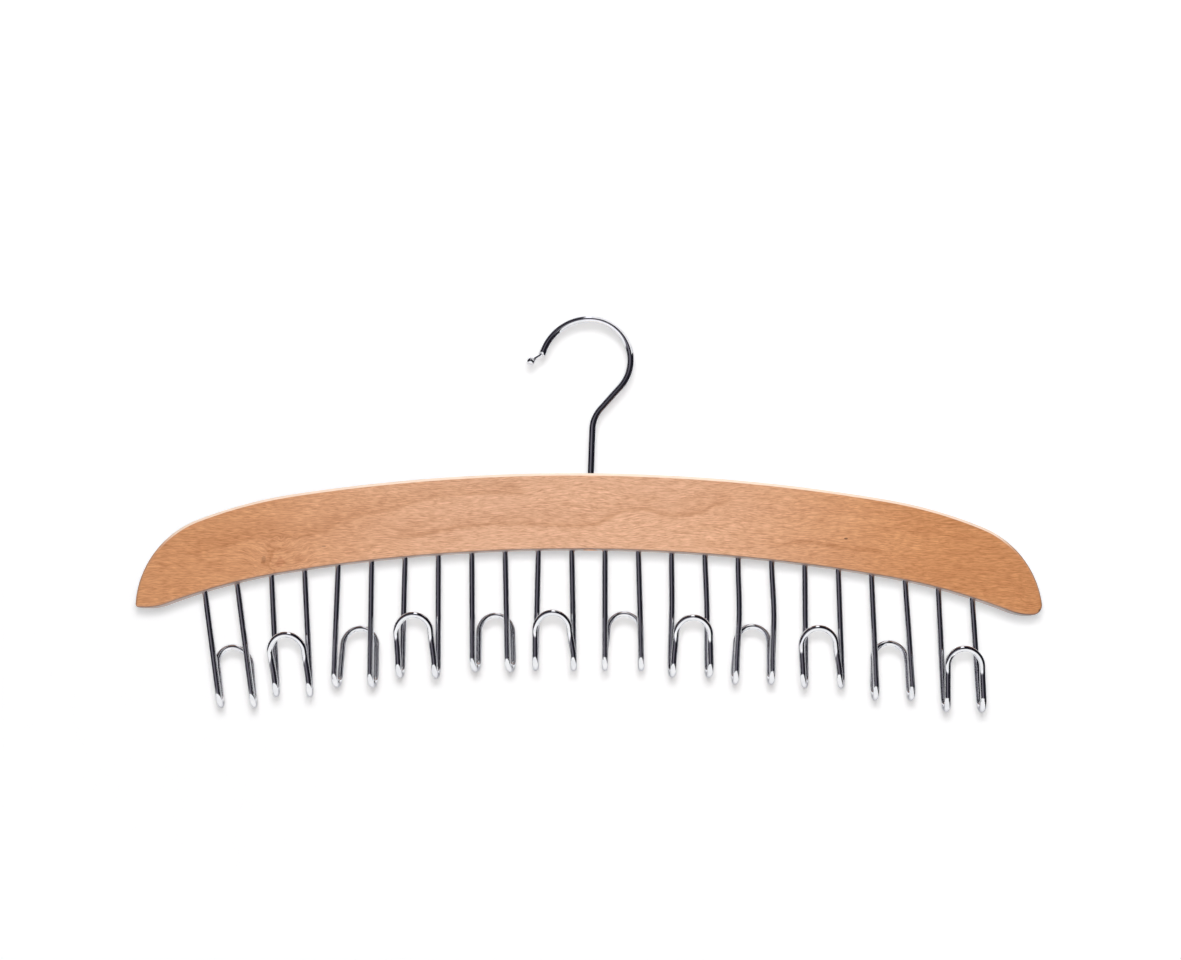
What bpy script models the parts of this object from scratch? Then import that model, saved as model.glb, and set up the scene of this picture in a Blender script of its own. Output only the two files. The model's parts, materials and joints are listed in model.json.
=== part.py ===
"""Wooden belt hanger: an arched bar, a swivel hook and twelve bent wire belt hooks.

Lengths are in metres. +X runs along the bar, +Z is up and the front of the hanger
faces -Y. The origin is the spot inside the hook's crown that rests on the closet rod.
"""

import math

import bmesh
import bpy
from mathutils import Vector

MM = 0.001

# Clearance between two pieces that touch or pass through each other
FIT_GAP = 0.3 * MM

# Swivel hook
HOOK_WIRE = 3.5 * MM              # wire diameter
HOOK_LOOP_RADIUS = 18.85 * MM     # inside of the loop, from its crown round to the diagonal
HOOK_NOSE_RADIUS = 22.45 * MM     # inside of the loop, from its tip to its crown
HOOK_TIP_ANGLE = 14.5             # degrees above level, where the loop ends
HOOK_NECK_DIP = 31.0              # degrees below level, the way the neck points
HOOK_NECK_LENGTH = 6.6 * MM       # from the end of the loop to the middle of the ball
HOOK_NECK_WIRE = 1.8 * MM
HOOK_NECK_TAPER = 1.4 * MM        # length over which the wire narrows to the neck
HOOK_BALL = 4.0 * MM              # diameter
HOOK_DIAGONAL = 41.0              # degrees from the vertical
HOOK_STEM_BEND = 16.0 * MM        # centreline radius between the diagonal and the stem
HOOK_STEM_LEAN = 1.5              # degrees from the vertical, the stem above the bar
HOOK_STEM_CLEAR = 1.5 * MM        # height above the bar from which the stem is upright
STEM_X = 1.3 * MM                 # swivel axis, to the right of the rod contact
RIVET_HEAD = 5.4 * MM             # diameter
RIVET_THICKNESS = 1.6 * MM
RIVET_FOOT = 3.2 * MM             # diameter of the head's flat end
RIVET_STEP = 0.03 * MM            # height of the ledge under the washer

# Washer that carries the bar
WASHER_DIAMETER = 7.0 * MM
WASHER_THICKNESS = 1.0 * MM
COUNTERBORE_DEPTH = 5.0 * MM

# Wooden bar. Its long curves are shares of its length, so that another length keeps its form.
BAR_TOP_Z = -76.35 * MM           # top of the bar, at its middle
BAR_MIDDLE_X = 0.4 * MM           # middle of the bar, to the right of the rod contact
BAR_LENGTH = 444.5 * MM           # 17.5 inches
BAR_HEIGHT = 37.6 * MM            # at the middle
BAR_THICKNESS = 12.0 * MM
BAR_EDGE_ROUND = 2.5 * MM
TOP_RADIUS = 2.05 * BAR_LENGTH    # long arc over the middle
SHOULDER_RADIUS = 0.495 * BAR_LENGTH
SHOULDER_SLOPE = 22.0             # degrees, where the shoulder meets the rounded end
END_RADIUS = 46.0 * MM
UNDERSIDE_RADIUS = 1.99 * BAR_LENGTH      # long hollow arc below the middle
UNDERSIDE_END_RADIUS = 0.675 * BAR_LENGTH
HEEL_DROP = 0.0684 * BAR_LENGTH   # from the underside's middle down to the bar's heels
HEEL_RADIUS = 25 * MM
HEEL_INSET = 6.5 * MM             # from the end of the bar to the middle of the heel's arc
RIGHT_CORNER_RADIUS = 5 * MM
LEFT_END_TRIM = 1.2 * MM          # by which the left half is shorter than the right one

# Belt hooks
LEG_MARGIN = 33.65 * MM           # from the end of the bar to the outermost leg
BELT_WIRE = 3.0 * MM              # wire diameter
LEG_SEAT = 14.0 * MM              # length of a leg inside the wood
FOLD_RADIUS = 6.75 * MM           # centreline of the fold at the foot of a leg
ARCH_SPREAD = 0.1 * MM            # by which each end of the arch stands outside its leg's bore

# What bending by hand gave each belt hook, from left to right. The lean, in degrees, slants
# the whole hook to the right as it goes down. The other values are in mm. The spread is how
# much further apart the feet stand than the bores. The drop is how far the folds hang below
# the wood, and the rise how far the arch stands above them. The twist is how far each fold
# comes up to the right of its leg, the set how far the arch stands to the right of the
# middle, and the bow how far the legs bulge to the right halfway down.
HOOK_FORMS = (
    (9.3, -0.1, 57.5, 28.5, -1.0, -0.5, 0.0),
    (4.3, -0.1, 59.5, 28.5, 1.0, -0.5, 0.0),
    (-0.2, 1.2, 59.5, 28.0, 1.0, 2.0, 0.0),
    (0.3, 1.0, 58.5, 29.0, -1.0, -2.5, 0.0),
    (1.6, 0.7, 57.5, 27.0, 1.5, 2.5, 0.0),
    (0.5, 2.1, 58.0, 26.5, 0.0, -1.0, 0.0),
    (1.2, 1.4, 57.5, 27.0, 0.0, 1.0, 0.0),
    (0.5, 1.5, 59.5, 27.5, 1.0, 1.5, 0.4),
    (-0.2, 1.2, 60.0, 27.5, -0.5, 0.0, 0.9),
    (0.9, 1.3, 58.0, 27.5, -2.5, -3.5, 0.0),
    (2.7, 1.2, 58.5, 27.0, 0.0, 0.5, 0.0),
    (2.5, 0.8, 56.5, 29.0, 0.0, 0.5, 0.0),
)

# Facets
ARC_STEP = 7.5                    # degrees along the swivel hook
BALL_CAP = 20                     # degrees, where the ball's facets start
BALL_STEPS = 6
LEG_STEPS = 4
FOLD_STEPS = 8
ARCH_STEPS = 12
RISER_STEPS = 3
TOP_STEPS = 10
SHOULDER_STEPS = 4
END_STEPS = 9
CORNER_STEPS = 6
HEEL_STEPS = 3
UNDERSIDE_END_STEPS = 5
UNDERSIDE_STEPS = 10
EDGE_STEPS = 3
BORE_SIDES = 16
WASHER_SIDES = 32
SHARP_ANGLE = 40                  # degrees, above which an edge of the bar is rounded
WELD_DISTANCE = 0.01 * MM
CUTTER_OVERRUN = 20 * MM          # how far a through cutter stands out of the wood

# Sizes that follow from those above
LEG_PITCH = (BAR_LENGTH - 2 * LEG_MARGIN) / (2 * len(HOOK_FORMS) - 1)
ARCH_RADIUS = LEG_PITCH / 2 + ARCH_SPREAD
UNDERSIDE_Z = BAR_TOP_Z - BAR_HEIGHT
SEAT_Z = UNDERSIDE_Z + COUNTERBORE_DEPTH
WASHER_Z = SEAT_Z - FIT_GAP - WASHER_THICKNESS / 2
RIVET_Z = WASHER_Z - WASHER_THICKNESS / 2 - FIT_GAP


def clear_scene():
    """Remove every object, so that the file holds only the hanger."""
    for scene_object in list(bpy.data.objects):
        bpy.data.objects.remove(scene_object, do_unlink=True)


def new_collection(name):
    collection = bpy.data.collections.new(name)
    bpy.context.scene.collection.children.link(collection)
    return collection


def new_material(name, colour, roughness, metallic):
    material = bpy.data.materials.new(name)
    material.use_nodes = True
    shader = material.node_tree.nodes["Principled BSDF"]
    shader.inputs["Base Color"].default_value = (*colour, 1.0)
    shader.inputs["Roughness"].default_value = roughness
    shader.inputs["Metallic"].default_value = metallic
    material.diffuse_color = (*colour, 1.0)
    return material


def polar(centre, radius, degrees):
    """Point at an angle on a circle in the XZ plane, counted from +X towards +Z."""
    angle = math.radians(degrees)
    return Vector((centre[0] + radius * math.cos(angle), centre[1] + radius * math.sin(angle)))


def arc(centre, radius, start, end, steps):
    """Points along an arc in the XZ plane, from one angle in degrees to another."""
    return [polar(centre, radius, start + (end - start) * step / steps)
            for step in range(steps + 1)]


def arc_steps(start, end):
    return max(1, round(abs(end - start) / ARC_STEP))


def crossing(spot, way, other_spot, other_way):
    """Where two straight lines in the XZ plane cross."""
    return spot + way * ((other_spot - spot).cross(other_way) / way.cross(other_way))


def join_runs(*runs):
    """One list from several runs of points, without the double point where two meet."""
    joined = list(runs[0])
    for run in runs[1:]:
        first = 1 if (joined[-1] - run[0]).length < WELD_DISTANCE else 0
        joined.extend(run[first:])
    return joined


def underside_centres():
    """Centres of the underside's long arc, of its tighter arc to the right and of the heel's.

    The long arc hands over to the tighter one where that one then meets the heel smoothly.
    """
    long_centre = Vector((0, UNDERSIDE_Z - UNDERSIDE_RADIUS))
    heel_centre = Vector((BAR_LENGTH / 2 - HEEL_INSET, UNDERSIDE_Z - HEEL_DROP + HEEL_RADIUS))
    heel_way = heel_centre - long_centre
    inner = UNDERSIDE_RADIUS - UNDERSIDE_END_RADIUS
    outer = UNDERSIDE_END_RADIUS + HEEL_RADIUS
    share = (inner**2 + heel_way.length_squared - outer**2) / (2 * inner * heel_way.length)
    slope = math.atan2(heel_way.x, heel_way.y) - math.acos(share)
    tight_centre = long_centre + inner * Vector((math.sin(slope), math.cos(slope)))
    return long_centre, tight_centre, heel_centre


def slope_between(centre, other_centre):
    """Slope, in degrees, of the outline where two touching arcs meet."""
    way = other_centre - centre
    return math.degrees(math.atan2(way.x, way.y))


def underside_height(x):
    """Height of the bar's underside at a distance from the bar's middle."""
    long_centre, tight_centre, _ = underside_centres()
    slope = math.radians(slope_between(long_centre, tight_centre))
    if abs(x) <= UNDERSIDE_RADIUS * math.sin(slope):
        return long_centre.y + math.sqrt(UNDERSIDE_RADIUS**2 - x**2)
    return tight_centre.y + math.sqrt(UNDERSIDE_END_RADIUS**2 - (abs(x) - tight_centre.x)**2)


def half_outline(corner_radius, trim):
    """Right half of the bar's outline, from its top round to the middle of its underside.

    A corner radius of zero leaves the lower corner as one point. The trim shortens the half.
    """
    shoulder = math.radians(SHOULDER_SLOPE)
    shoulder_reach = SHOULDER_RADIUS * math.sin(shoulder)
    end_reach = END_RADIUS * (1 - math.sin(shoulder))
    top_reach = BAR_LENGTH / 2 - trim - shoulder_reach - end_reach
    top = math.asin(top_reach / (TOP_RADIUS - SHOULDER_RADIUS))
    top_centre = Vector((0, BAR_TOP_Z - TOP_RADIUS))
    shoulder_centre = polar(top_centre, TOP_RADIUS - SHOULDER_RADIUS, 90 - math.degrees(top))
    end_centre = polar(shoulder_centre, SHOULDER_RADIUS - END_RADIUS, 90 - SHOULDER_SLOPE)

    heel_z = UNDERSIDE_Z - HEEL_DROP
    corner_rise = heel_z + corner_radius - end_centre.y
    corner_run = math.sqrt((END_RADIUS - corner_radius)**2 - corner_rise**2)
    corner_centre = end_centre + Vector((corner_run, corner_rise))
    end_angle = math.degrees(math.atan2(corner_rise, corner_run))
    corner = [corner_centre]
    if corner_radius > 0:
        corner = arc(corner_centre, corner_radius, end_angle, -90, CORNER_STEPS)

    long_centre, tight_centre, heel_centre = underside_centres()
    heel_slope = slope_between(tight_centre, heel_centre)
    tight_slope = slope_between(long_centre, tight_centre)

    return join_runs(
        arc(top_centre, TOP_RADIUS, 90, 90 - math.degrees(top), TOP_STEPS),
        arc(shoulder_centre, SHOULDER_RADIUS, 90 - math.degrees(top), 90 - SHOULDER_SLOPE,
            SHOULDER_STEPS),
        arc(end_centre, END_RADIUS, 90 - SHOULDER_SLOPE, end_angle, END_STEPS),
        corner,
        arc(heel_centre, HEEL_RADIUS, -90, -90 - heel_slope, HEEL_STEPS),
        arc(tight_centre, UNDERSIDE_END_RADIUS, 90 - heel_slope, 90 - tight_slope,
            UNDERSIDE_END_STEPS),
        arc(long_centre, UNDERSIDE_RADIUS, 90 - tight_slope, 90, UNDERSIDE_STEPS),
    )


def bar_outline():
    """Closed outline of the bar, clockwise from the middle of its top."""
    right = half_outline(RIGHT_CORNER_RADIUS, 0.0)
    left = [Vector((-point.x, point.y)) for point in reversed(half_outline(0.0, LEFT_END_TRIM))]
    return right[:-1] + left[:-1]


def flat_curve(name, outlines, thickness, collection):
    """Plate from closed outlines in the local XY plane, later outlines being holes."""
    data = bpy.data.curves.new(name, "CURVE")
    data.dimensions = "2D"
    data.fill_mode = "BOTH"
    data.extrude = thickness / 2
    for outline in outlines:
        spline = data.splines.new("POLY")
        spline.points.add(len(outline) - 1)
        for point, place in zip(spline.points, outline):
            point.co = (place.x, place.y, 0, 1)
        spline.use_cyclic_u = True
    plate = bpy.data.objects.new(name, data)
    collection.objects.link(plate)
    return plate


def wire_curve(name, path, diameter, bevel_resolution, collection, material):
    """Round wire along a path of points and radius shares."""
    data = bpy.data.curves.new(name, "CURVE")
    data.dimensions = "3D"
    data.bevel_depth = diameter / 2
    data.bevel_resolution = bevel_resolution
    data.use_fill_caps = True
    spline = data.splines.new("POLY")
    spline.points.add(len(path) - 1)
    for point, (place, share) in zip(spline.points, path):
        point.co = (*place, 1)
        point.radius = share
    data.materials.append(material)
    wire = bpy.data.objects.new(name, data)
    collection.objects.link(wire)
    return wire


def curve_to_mesh(curve_object, collection):
    """Replace a curve object by a welded mesh object of the same name and place."""
    bpy.context.view_layer.update()
    evaluated = curve_object.evaluated_get(bpy.context.evaluated_depsgraph_get())
    mesh = bpy.data.meshes.new_from_object(evaluated)
    name = curve_object.name
    place = curve_object.matrix_world.copy()
    bpy.data.objects.remove(curve_object, do_unlink=True)
    solid = bpy.data.objects.new(name, mesh)
    solid.matrix_world = place
    collection.objects.link(solid)

    shape = bmesh.new()
    shape.from_mesh(mesh)
    bmesh.ops.remove_doubles(shape, verts=shape.verts, dist=WELD_DISTANCE)
    flat_edges = [edge for edge in shape.edges if len(edge.link_faces) == 2
                  and all(abs(face.normal.z) > 0.9999 for face in edge.link_faces)]
    bmesh.ops.dissolve_edges(shape, edges=flat_edges)
    bmesh.ops.recalc_face_normals(shape, faces=shape.faces)
    shape.to_mesh(mesh)
    shape.free()
    return solid


def bore_cutter(name, radius, bottom, top, parent_place, collection):
    """Upright cylinder in a given frame, whose flats keep the whole radius clear."""
    shape = bmesh.new()
    across = radius / math.cos(math.pi / BORE_SIDES)
    bmesh.ops.create_cone(shape, cap_ends=True, segments=BORE_SIDES, radius1=across,
                          radius2=across, depth=top - bottom)
    bmesh.ops.translate(shape, verts=shape.verts, vec=(0, 0, (top + bottom) / 2))
    mesh = bpy.data.meshes.new(name)
    shape.to_mesh(mesh)
    shape.free()
    cutter = bpy.data.objects.new(name, mesh)
    cutter.location, cutter.rotation_euler = parent_place
    cutter.hide_render = True
    cutter.display_type = "WIRE"
    collection.objects.link(cutter)
    return cutter


def belt_hook_place(index):
    """Where the middle of a belt hook meets the underside."""
    x = (index - (len(HOOK_FORMS) - 1) / 2) * 2 * LEG_PITCH
    return Vector((BAR_MIDDLE_X + x, 0, underside_height(x)))


def leg_lean(index, side):
    """Angle from the vertical of one leg of a hook, to the right as it goes down."""
    lean, spread, drop = HOOK_FORMS[index][:3]
    return math.atan(math.tan(math.radians(lean)) + side * spread / 2 / (drop - FOLD_RADIUS / MM))


def belt_hook_path(index):
    """Centreline of a belt hook in its own frame, with its arch behind or in front."""
    slant = math.tan(math.radians(HOOK_FORMS[index][0]))
    spread, drop, rise, twist, shift, bow = (value * MM for value in HOOK_FORMS[index][1:])
    depth = 2 * FOLD_RADIUS * (1 if index % 2 == 0 else -1)
    fold_z = FOLD_RADIUS - drop
    spring_z = rise - drop - ARCH_RADIUS

    def slanted(x, y, z):
        return Vector((x - z * slant, y, z))

    def leg_and_riser(side):
        bore_x = side * LEG_PITCH / 2
        foot_x = bore_x + side * spread / 2
        riser_x = foot_x + twist
        spring_x = shift + side * ARCH_RADIUS
        lean = leg_lean(index, side)
        points = [Vector((bore_x - LEG_SEAT * math.sin(lean), 0, LEG_SEAT * math.cos(lean)))]
        for step in range(LEG_STEPS):
            share = step / LEG_STEPS
            bulge = bow * math.sin(math.pi * share)**2
            points.append(slanted(bore_x + (foot_x - bore_x) * share + bulge, 0,
                                  fold_z * share))
        for step in range(FOLD_STEPS + 1):
            turn = math.pi * step / FOLD_STEPS
            across = (1 - math.cos(turn)) / 2
            points.append(slanted(foot_x + twist * across, depth * across,
                                  fold_z - FOLD_RADIUS * math.sin(turn)))
        for step in range(1, RISER_STEPS):
            share = step / RISER_STEPS
            sway = share * share * (3 - 2 * share)
            points.append(slanted(riser_x + (spring_x - riser_x) * sway, depth,
                                  fold_z + (spring_z - fold_z) * share))
        return points

    arch = [slanted(point.x, depth, point.y)
            for point in arc((shift, spring_z), ARCH_RADIUS, 180, 0, ARCH_STEPS)]
    points = leg_and_riser(-1) + arch + leg_and_riser(1)[::-1]
    return [(point, 1.0) for point in points]


def swivel_hook_path():
    """Centreline of the swivel hook from its ball tip to its rivet head."""
    nose_end = 180 - HOOK_TIP_ANGLE
    nose = arc((0, -HOOK_NOSE_RADIUS), HOOK_NOSE_RADIUS + HOOK_WIRE / 2, nose_end, 90,
               arc_steps(nose_end, 90))
    loop = arc((0, -HOOK_LOOP_RADIUS), HOOK_LOOP_RADIUS + HOOK_WIRE / 2, 90, -HOOK_DIAGONAL,
               arc_steps(90, -HOOK_DIAGONAL))

    stem_top = Vector((STEM_X, BAR_TOP_Z + HOOK_STEM_CLEAR))
    corner = crossing(loop[-1], polar((0, 0), 1, 90 - HOOK_DIAGONAL),
                      stem_top, polar((0, 0), 1, 90 - HOOK_STEM_LEAN))
    half_turn = math.radians((HOOK_DIAGONAL - HOOK_STEM_LEAN) / 2)
    bend_centre = polar(corner, HOOK_STEM_BEND / math.cos(half_turn),
                        -(HOOK_DIAGONAL + HOOK_STEM_LEAN) / 2)
    bend = arc(bend_centre, HOOK_STEM_BEND, 180 - HOOK_DIAGONAL, 180 - HOOK_STEM_LEAN,
               arc_steps(HOOK_DIAGONAL, HOOK_STEM_LEAN))

    neck_way = polar((0, 0), 1, 180 + HOOK_NECK_DIP)
    ball = nose[0] + neck_way * HOOK_NECK_LENGTH
    neck_share = HOOK_NECK_WIRE / HOOK_WIRE
    neck_turn = 180 - math.degrees(math.asin(HOOK_NECK_WIRE / HOOK_BALL))
    tip = []
    for place in arc((0, 0), HOOK_BALL / 2, BALL_CAP, neck_turn, BALL_STEPS):
        tip.append((ball + neck_way * place.x, place.y * 2 / HOOK_WIRE))
    tip.append((nose[0] + neck_way * HOOK_NECK_TAPER, neck_share))

    head_share = RIVET_HEAD / HOOK_WIRE
    rivet = [
        (Vector((STEM_X, RIVET_Z + RIVET_STEP)), 1.0),
        (Vector((STEM_X, RIVET_Z)), head_share),
        (Vector((STEM_X, RIVET_Z - RIVET_THICKNESS / 2)), head_share),
        (Vector((STEM_X, RIVET_Z - RIVET_THICKNESS)), RIVET_FOOT / HOOK_WIRE),
    ]
    wire = [(point, 1.0) for point in join_runs(nose, loop, bend, [stem_top])]
    return [(Vector((point.x, 0, point.y)), share) for point, share in tip + wire + rivet]


def make_bar(collection, cutters, material):
    """The arched bar with rounded edges, drilled for the legs and the hook's stem."""
    outline = flat_curve("wooden_bar", [bar_outline()], BAR_THICKNESS, collection)
    outline.location = (BAR_MIDDLE_X, 0, 0)
    outline.rotation_euler = (math.pi / 2, 0, 0)
    bar = curve_to_mesh(outline, collection)
    bar.data.materials.append(material)
    bar.data.shade_smooth()
    bar.data.set_sharp_from_angle(angle=math.radians(SHARP_ANGLE))

    edges = bar.modifiers.new("rounded edges", "BEVEL")
    edges.width = BAR_EDGE_ROUND
    edges.segments = EDGE_STEPS
    edges.limit_method = "ANGLE"
    edges.angle_limit = math.radians(SHARP_ANGLE)

    stem_place = (Vector((STEM_X, 0, 0)), (0, 0, 0))
    bore_cutter("stem_bore", HOOK_WIRE / 2 + FIT_GAP, UNDERSIDE_Z - CUTTER_OVERRUN,
                BAR_TOP_Z + CUTTER_OVERRUN, stem_place, cutters)
    bore_cutter("counterbore", WASHER_DIAMETER / 2 + FIT_GAP, UNDERSIDE_Z - CUTTER_OVERRUN,
                SEAT_Z, stem_place, cutters)
    for index in range(len(HOOK_FORMS)):
        for side, name in ((-1, "left"), (1, "right")):
            entry = belt_hook_place(index) + Vector((side * LEG_PITCH / 2, 0, 0))
            leg_place = (entry, (0, -leg_lean(index, side), 0))
            bore_cutter(f"leg_bore_{index + 1:02d}_{name}", BELT_WIRE / 2 + FIT_GAP,
                        -LEG_SEAT, LEG_SEAT + FIT_GAP, leg_place, cutters)
    bores = bar.modifiers.new("bores", "BOOLEAN")
    bores.operation = "DIFFERENCE"
    bores.operand_type = "COLLECTION"
    bores.collection = cutters
    bores.solver = "EXACT"
    return bar


def make_swivel_hook(collection, material):
    return wire_curve("hanger_hook", swivel_hook_path(), HOOK_WIRE, 4, collection, material)


def make_washer(collection, material):
    """Flat washer between the wood and the rivet head."""
    rim = arc((0, 0), WASHER_DIAMETER / 2, 0, 360, WASHER_SIDES)[:-1]
    hole = arc((0, 0), HOOK_WIRE / 2 + FIT_GAP, 0, 360, WASHER_SIDES)[:-1]
    plate = flat_curve("hook_washer", [rim, hole], WASHER_THICKNESS, collection)
    plate.location = (STEM_X, 0, WASHER_Z)
    plate.data.materials.append(material)
    return plate


def make_belt_hooks(collection, material):
    """Twelve wires, the odd ones with their arch behind and the even ones in front."""
    hooks = []
    for index in range(len(HOOK_FORMS)):
        hook = wire_curve(f"belt_hook_{index + 1:02d}", belt_hook_path(index), BELT_WIRE, 2,
                          collection, material)
        hook.location = belt_hook_place(index)
        hooks.append(hook)
    return hooks


def attach(children, parent):
    """Parent the pieces to an empty and keep them where they are."""
    bpy.context.view_layer.update()
    for child in children:
        child.parent = parent
        child.matrix_parent_inverse = parent.matrix_world.inverted()


def main():
    clear_scene()
    parts = new_collection("belt_hanger")
    cutters = new_collection("cutters")
    beech = new_material("beech", (0.62, 0.36, 0.20), 0.55, 0.0)
    chrome = new_material("chrome", (0.80, 0.80, 0.82), 0.08, 1.0)

    make_swivel_hook(parts, chrome)
    make_washer(parts, chrome)
    bar = make_bar(parts, cutters, beech)
    hooks = make_belt_hooks(parts, chrome)

    swivel = bpy.data.objects.new("swivel_axis", None)
    swivel.location = (STEM_X, 0, SEAT_Z)
    parts.objects.link(swivel)
    attach([bar, *hooks], swivel)


main()
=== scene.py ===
"""Looks of the wooden belt hanger: fine wires, beech, chrome, a pale stage and soft light.

Lengths are in metres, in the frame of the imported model: +X along the bar, +Z up, the
front of the hanger towards -Y, the origin inside the hook's crown.
"""

import json
import math

import bmesh
import bpy
from mathutils import Matrix, Vector

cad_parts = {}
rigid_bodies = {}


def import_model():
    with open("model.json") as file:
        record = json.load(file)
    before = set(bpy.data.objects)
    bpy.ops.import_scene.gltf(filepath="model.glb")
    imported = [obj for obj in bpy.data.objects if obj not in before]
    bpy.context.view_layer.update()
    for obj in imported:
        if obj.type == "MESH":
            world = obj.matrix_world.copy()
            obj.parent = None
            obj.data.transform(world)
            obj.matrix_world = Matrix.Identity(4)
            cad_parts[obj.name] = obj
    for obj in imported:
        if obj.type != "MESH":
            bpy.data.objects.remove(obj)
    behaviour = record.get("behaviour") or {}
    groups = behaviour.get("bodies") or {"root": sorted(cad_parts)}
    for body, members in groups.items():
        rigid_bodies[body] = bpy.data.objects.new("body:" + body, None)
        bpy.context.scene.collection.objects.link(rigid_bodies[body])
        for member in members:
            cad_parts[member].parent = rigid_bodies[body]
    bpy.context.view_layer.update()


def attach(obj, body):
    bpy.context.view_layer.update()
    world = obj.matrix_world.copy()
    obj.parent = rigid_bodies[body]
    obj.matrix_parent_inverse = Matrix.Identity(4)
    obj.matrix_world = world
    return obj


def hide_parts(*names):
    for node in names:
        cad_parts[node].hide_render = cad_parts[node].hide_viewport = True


MM = 0.001

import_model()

# Sizes of the solids
FIT_GAP = 0.3 * MM
HOOK_WIRE = 3.5 * MM
HOOK_LOOP_RADIUS = 18.85 * MM
HOOK_NOSE_RADIUS = 22.45 * MM
HOOK_TIP_ANGLE = 14.5
HOOK_NECK_DIP = 31.0
HOOK_NECK_LENGTH = 6.6 * MM
HOOK_NECK_WIRE = 1.8 * MM
HOOK_NECK_TAPER = 1.4 * MM
HOOK_BALL = 4.0 * MM
HOOK_DIAGONAL = 41.0
HOOK_STEM_BEND = 16.0 * MM
HOOK_STEM_LEAN = 1.5
HOOK_STEM_CLEAR = 1.5 * MM
STEM_X = 1.3 * MM
RIVET_HEAD = 5.4 * MM
RIVET_THICKNESS = 1.6 * MM
RIVET_FOOT = 3.2 * MM
WASHER_DIAMETER = 7.0 * MM
WASHER_THICKNESS = 1.0 * MM
COUNTERBORE_DEPTH = 5.0 * MM
BAR_TOP_Z = -76.35 * MM
BAR_MIDDLE_X = 0.4 * MM
BAR_LENGTH = 444.5 * MM
BAR_HEIGHT = 37.6 * MM
BAR_THICKNESS = 12.0 * MM
BAR_EDGE_ROUND = 2.5 * MM
TOP_RADIUS = 2.05 * BAR_LENGTH
SHOULDER_RADIUS = 0.495 * BAR_LENGTH
SHOULDER_SLOPE = 22.0
END_RADIUS = 46.0 * MM
UNDERSIDE_RADIUS = 1.99 * BAR_LENGTH
UNDERSIDE_END_RADIUS = 0.675 * BAR_LENGTH
HEEL_DROP = 0.0684 * BAR_LENGTH
HEEL_RADIUS = 25 * MM
HEEL_INSET = 6.5 * MM
RIGHT_CORNER_RADIUS = 5 * MM
LEFT_END_TRIM = 1.2 * MM
LEG_MARGIN = 33.65 * MM
BELT_WIRE = 3.0 * MM
LEG_SEAT = 14.0 * MM
FOLD_RADIUS = 6.75 * MM
ARCH_SPREAD = 0.1 * MM

# Lean in degrees, then spread, drop, rise, twist, shift and bow in mm, of each belt hook.
# The twists of the third and fifth are larger than in the solids, as in the photograph.
HOOK_FORMS = (
    (9.3, -0.1, 57.5, 28.5, -1.0, -0.5, 0.0),
    (4.3, -0.1, 59.5, 28.5, 1.0, -0.5, 0.0),
    (-0.2, 1.2, 59.5, 28.0, 1.7, 2.0, 0.0),
    (0.3, 1.0, 58.5, 29.0, -1.0, -2.5, 0.0),
    (1.6, 0.7, 57.5, 27.0, 2.4, 2.5, 0.0),
    (0.5, 2.1, 58.0, 26.5, 0.0, -1.0, 0.0),
    (1.2, 1.4, 57.5, 27.0, 0.0, 1.0, 0.0),
    (0.5, 1.5, 59.5, 27.5, 1.0, 1.5, 0.4),
    (-0.2, 1.2, 60.0, 27.5, -0.5, 0.0, 0.9),
    (0.9, 1.3, 58.0, 27.5, -2.5, -3.5, 0.0),
    (2.7, 1.2, 58.5, 27.0, 0.0, 0.5, 0.0),
    (2.5, 0.8, 56.5, 29.0, 0.0, 0.5, 0.0),
)

# The loops lean out to their crowns, and those of the solids don't: distance below the
# crown and how far the wire is set back there, in mm, and how fast that grows
LOOP_BEND = ((0, 0, 0.20), (9, 1.72, 0.18), (14, 2.20, 0))
SET_BACK = LOOP_BEND[-1][1] * MM  # from the last of these points down to the fold
SWAY_STRAIGHT = 0.6               # how much of a riser's way to its arch is straight

LEG_PITCH = (BAR_LENGTH - 2 * LEG_MARGIN) / (2 * len(HOOK_FORMS) - 1)
ARCH_RADIUS = LEG_PITCH / 2 + ARCH_SPREAD
UNDERSIDE_Z = BAR_TOP_Z - BAR_HEIGHT
SEAT_Z = UNDERSIDE_Z + COUNTERBORE_DEPTH
WASHER_Z = SEAT_Z - FIT_GAP - WASHER_THICKNESS / 2
RIVET_Z = WASHER_Z - WASHER_THICKNESS / 2 - FIT_GAP

# Fineness of the meshes
HOOK_SIDES = 32
BELT_SIDES = 24
WASHER_SIDES = 48
ARC_STEP = 3.0                    # degrees along the swivel hook
BALL_STEPS = 26
NECK_SHARES = (0.0, 0.3, 0.6, 0.9)
SHOULDER_STEPS = 9
RIVET_STEPS = 9
RIM_STEPS = 4
CORNER_STEPS = 12
LEG_STEPS = 14
FOLD_STEPS = 24
ARCH_STEPS = 36
RISER_STEPS = 14
OUTLINE_STEP = 1.6 * MM
EDGE_STEPS = 7
BORE_SIDES = 32
BORE_GAP = 0.08 * MM
STEM_GAP = 0.25 * MM
SHARP_ANGLE = 40
FLAT_NORMAL = 0.9999
FACE_WEIGHT = 100
WELD_DISTANCE = 0.01 * MM
CUTTER_OVERRUN = 20 * MM
BALL_OPENING = 2                  # degrees left open at the ball's pole
BALL_NECK_GAP = 4                 # degrees between the ball's end and its neck
NECK_CLEAR = 1.06                 # radii of the ball from its middle to the neck's start
SHOULDER_SHARE = 0.9              # part of the neck's taper that its shoulder takes up
RIVET_LIP = 0.15 * MM
RIVET_LIFT = 0.03 * MM
WASHER_SOFTNESS = 0.2 * MM


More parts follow.
